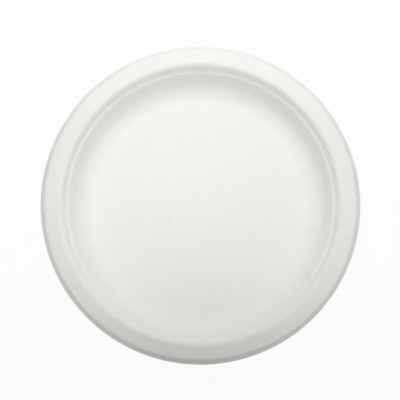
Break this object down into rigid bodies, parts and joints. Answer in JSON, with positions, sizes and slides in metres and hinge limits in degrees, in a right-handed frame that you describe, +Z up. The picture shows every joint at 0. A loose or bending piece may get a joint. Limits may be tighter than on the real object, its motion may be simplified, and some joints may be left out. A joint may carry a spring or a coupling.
{
  "type": "paper plate",
  "caption": "Round disposable plate pressed from white paper pulp, with a flat base, a curved wall, a stacking ledge, a sloping rim and a rolled lip with a trimmed edge.",
  "frame": {"origin": "centre of the flat base, on the plane that the plate rests on", "axes": "+Z up along the plate's axis, out of the well; X and Y lie in the resting plane and are alike"},
  "size_m": [0.23, 0.23, 0.0195],
  "materials": {
    "pulp": "matte"
  },
  "bodies": {
    "root": {"plate": "pulp"}
  },
  "joints": []
}
